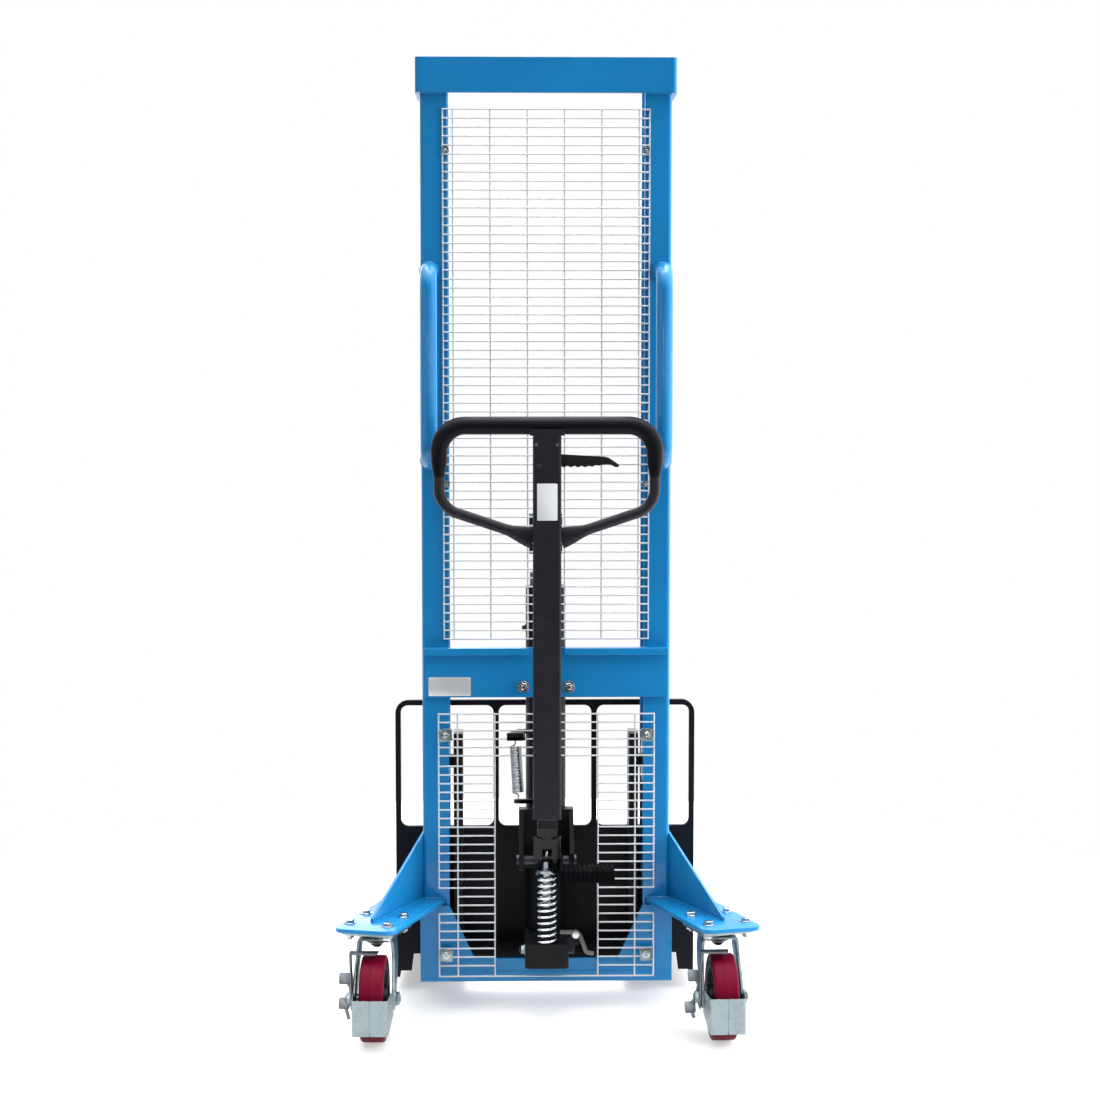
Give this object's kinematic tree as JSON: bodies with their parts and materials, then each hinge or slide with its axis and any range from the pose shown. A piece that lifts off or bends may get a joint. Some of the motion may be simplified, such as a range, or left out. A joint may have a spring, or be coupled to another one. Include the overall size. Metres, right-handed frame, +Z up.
{
  "type": "hand pallet stacker",
  "caption": "Hand-operated hydraulic stacker: a blue channel mast with wire guards, a pump tiller, splayed casters, straddle legs and a black fork carriage that slides up the mast.",
  "frame": {"origin": "middle of the footprint, on the floor", "axes": "+Z up along the mast, +Y towards the fork tips, +X to the operator's right"},
  "size_m": [0.8854, 1.6402, 2.06],
  "materials": {
    "blue_paint": "gloss blue paint",
    "white_wire": "white coated wire",
    "zinc": "bright zinc",
    "black_paint": "satin black paint",
    "steel": "plain steel",
    "chrome": "hard chrome",
    "rubber": "matt black rubber",
    "black_plastic": "moulded black plastic",
    "red_tread": "crimson polyurethane",
    "iron": "black cast wheel core",
    "nylon": "white nylon"
  },
  "bodies": {
    "chassis": {"mast_left": "blue_paint", "mast_right": "blue_paint", "top_strap": "blue_paint", "cross_beam": "blue_paint", "base_plate": "blue_paint", "leg_left": "blue_paint", "leg_right": "blue_paint", "outrigger_left": "blue_paint", "outrigger_right": "blue_paint", "bow_handles": "blue_paint", "upper_guard": "white_wire", "lower_guard": "white_wire", "guard_clamps": "zinc", "lift_cylinder": "black_paint", "cylinder_gland": "steel", "pump_block": "black_paint", "pivot_yoke": "black_paint", "pivot_pin": "zinc", "spring_bracket": "black_paint", "frame_bolts": "zinc", "caster_plate_left": "zinc", "caster_plate_right": "zinc", "chain_fixed": "steel", "pump_spring": "chrome", "return_spring": "chrome"},
    "carriage": {"carriage_plate": "black_paint", "carriage_side_left": "black_paint", "carriage_side_right": "black_paint", "backrest": "black_paint", "fork_left": "black_paint", "fork_right": "black_paint"},
    "rod": {"lift_rod": "chrome", "chain_head": "black_paint", "chain_wrap": "steel", "chain_free": "steel"},
    "pulley": {"chain_pulley": "zinc"},
    "tiller": {"tiller_tube": "black_paint", "handle_loop": "black_paint", "handle_grip": "rubber", "tiller_rocker": "black_paint", "foot_pedal": "rubber"},
    "plunger": {"pump_plunger": "chrome"},
    "lever": {"hand_lever": "black_plastic"},
    "release": {"release_lever": "zinc"},
    "swivel_left": {"caster_fork_left": "zinc", "caster_guard_left": "zinc"},
    "wheel_left": {"caster_core_left": "iron", "caster_tyre_left": "red_tread"},
    "brake_left": {"caster_brake_left": "zinc"},
    "load_roller_left": {"load_roller_left": "nylon"},
    "roller_upper_left": {"mast_roller_upper_left": "steel"},
    "roller_lower_left": {"mast_roller_lower_left": "steel"},
    "swivel_right": {"caster_fork_right": "zinc", "caster_guard_right": "zinc"},
    "wheel_right": {"caster_core_right": "iron", "caster_tyre_right": "red_tread"},
    "brake_right": {"caster_brake_right": "zinc"},
    "load_roller_right": {"load_roller_right": "nylon"},
    "roller_upper_right": {"mast_roller_upper_right": "steel"},
    "roller_lower_right": {"mast_roller_lower_right": "steel"}
  },
  "joints": [
    {"name": "carriage_lift", "type": "slide", "parent": "chassis", "child": "carriage", "axis": [0, 0, 1], "range_m": [0, 1.455], "deforming": ["chain_fixed", "chain_free"]},
    {"name": "rod_lift", "type": "slide", "parent": "chassis", "child": "rod", "axis": [0, 0, 1], "range_m": [0, 0.7275]},
    {"name": "pulley_spin", "type": "hinge", "parent": "rod", "child": "pulley", "pos_m": [0, -0.4039, 1.068], "axis": [1, 0, 0], "continuous": true},
    {"name": "tiller_swing", "type": "hinge", "parent": "chassis", "child": "tiller", "pos_m": [0, -0.4999, 0.33], "axis": [1, 0, 0], "range_deg": [0, 55], "stiffness_Nm_per_rad": 60, "springref_deg": -28.65, "deforming": ["return_spring", "pump_spring"]},
    {"name": "plunger_slide", "type": "slide", "parent": "chassis", "child": "plunger", "axis": [0, 0, 1], "range_m": [-0.0475, 0]},
    {"name": "lever_squeeze", "type": "hinge", "parent": "tiller", "child": "lever", "pos_m": [0.016, -0.5839, 1.207], "axis": [0, -1, 0], "range_deg": [0, 10], "stiffness_Nm_per_rad": 2, "springref_deg": -8.59},
    {"name": "release_turn", "type": "hinge", "parent": "chassis", "child": "release", "pos_m": [0.062, -0.5599, 0.181], "axis": [0, -1, 0], "range_deg": [0, 10]},
    {"name": "swivel_turn_left", "type": "hinge", "parent": "chassis", "child": "swivel_left", "pos_m": [-0.36, -0.6569, 0.2], "axis": [0, 0, 1], "continuous": true},
    {"name": "wheel_roll_left", "type": "hinge", "parent": "swivel_left", "child": "wheel_left", "pos_m": [-0.36216, -0.71887, 0.09], "axis": [0.9994, -0.0349, 0], "continuous": true},
    {"name": "brake_tread_left", "type": "hinge", "parent": "swivel_left", "child": "brake_left", "pos_m": [-0.36216, -0.71887, 0.09], "axis": [0.9994, -0.0349, 0], "range_deg": [0, 12]},
    {"name": "load_roll_left", "type": "hinge", "parent": "chassis", "child": "load_roller_left", "pos_m": [-0.231, 0.6721, 0.037], "axis": [1, 0, 0], "continuous": true},
    {"name": "roll_upper_left", "type": "hinge", "parent": "carriage", "child": "roller_upper_left", "pos_m": [-0.234, -0.4119, 0.535], "axis": [1, 0, 0], "continuous": true},
    {"name": "roll_lower_left", "type": "hinge", "parent": "carriage", "child": "roller_lower_left", "pos_m": [-0.234, -0.4119, 0.19], "axis": [1, 0, 0], "continuous": true},
    {"name": "swivel_turn_right", "type": "hinge", "parent": "chassis", "child": "swivel_right", "pos_m": [0.36, -0.6569, 0.2], "axis": [0, 0, 1], "continuous": true},
    {"name": "wheel_roll_right", "type": "hinge", "parent": "swivel_right", "child": "wheel_right", "pos_m": [0.36216, -0.71887, 0.09], "axis": [0.9994, 0.0349, 0], "continuous": true},
    {"name": "brake_tread_right", "type": "hinge", "parent": "swivel_right", "child": "brake_right", "pos_m": [0.36216, -0.71887, 0.09], "axis": [0.9994, 0.0349, 0], "range_deg": [0, 12]},
    {"name": "load_roll_right", "type": "hinge", "parent": "chassis", "child": "load_roller_right", "pos_m": [0.231, 0.6721, 0.037], "axis": [1, 0, 0], "continuous": true},
    {"name": "roll_upper_right", "type": "hinge", "parent": "carriage", "child": "roller_upper_right", "pos_m": [0.234, -0.4119, 0.535], "axis": [1, 0, 0], "continuous": true},
    {"name": "roll_lower_right", "type": "hinge", "parent": "carriage", "child": "roller_lower_right", "pos_m": [0.234, -0.4119, 0.19], "axis": [1, 0, 0], "continuous": true}
  ],
  "couplings": [
    {"joint": "rod_lift", "follows": "carriage_lift", "ratio": 0.5},
    {"joint": "pulley_spin", "follows": "carriage_lift", "rad_per_m": 8.881},
    {"joint": "plunger_slide", "follows": "tiller_swing", "m_per_rad": -0.0492},
    {"joint": "release_turn", "follows": "lever_squeeze", "ratio": 1},
    {"joint": "roll_upper_left", "follows": "carriage_lift", "rad_per_m": -20},
    {"joint": "roll_lower_left", "follows": "carriage_lift", "rad_per_m": 20},
    {"joint": "roll_upper_right", "follows": "carriage_lift", "rad_per_m": -20},
    {"joint": "roll_lower_right", "follows": "carriage_lift", "rad_per_m": 20}
  ]
}
